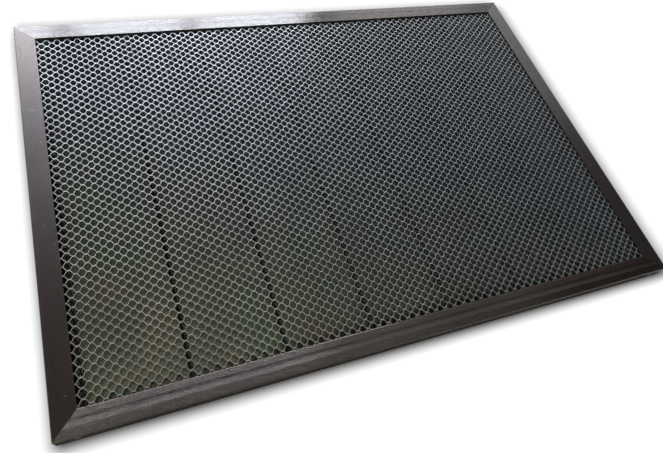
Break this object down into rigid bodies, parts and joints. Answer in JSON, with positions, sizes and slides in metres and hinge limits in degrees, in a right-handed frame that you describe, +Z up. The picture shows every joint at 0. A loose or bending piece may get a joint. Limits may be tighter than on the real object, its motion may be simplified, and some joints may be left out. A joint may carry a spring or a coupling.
{
  "type": "honeycomb laser bed",
  "caption": "Rectangular honeycomb work bed for a laser cutter: a mitred aluminium frame holding a mat of bonded corrugated steel strips on cross rods.",
  "frame": {"origin": "middle of the underside, on the plane that the rails rest on", "axes": "+X along the long side, +Y to the back long rail, +Z up out of the work surface"},
  "size_m": [0.64, 0.44, 0.018],
  "materials": {
    "rail": "dark bronze-grey anodised, satin, drawn along its length",
    "strip": "galvanised thin strip, bright on its cut edges",
    "rod": "bright drawn round rod",
    "key": "plain mill finish",
    "screw": "zinc plated"
  },
  "bodies": {
    "root": {"front_rail": "rail", "back_rail": "rail", "left_rail": "rail", "right_rail": "rail", "honeycomb_core": "strip", "cross_rod_1": "rod", "cross_rod_2": "rod", "cross_rod_3": "rod", "cross_rod_4": "rod", "cross_rod_5": "rod", "cross_rod_6": "rod", "cross_rod_7": "rod", "cross_rod_8": "rod", "corner_key_front_left": "key", "corner_key_front_right": "key", "corner_key_back_left": "key", "corner_key_back_right": "key", "corner_screws": "screw"}
  },
  "joints": []
}
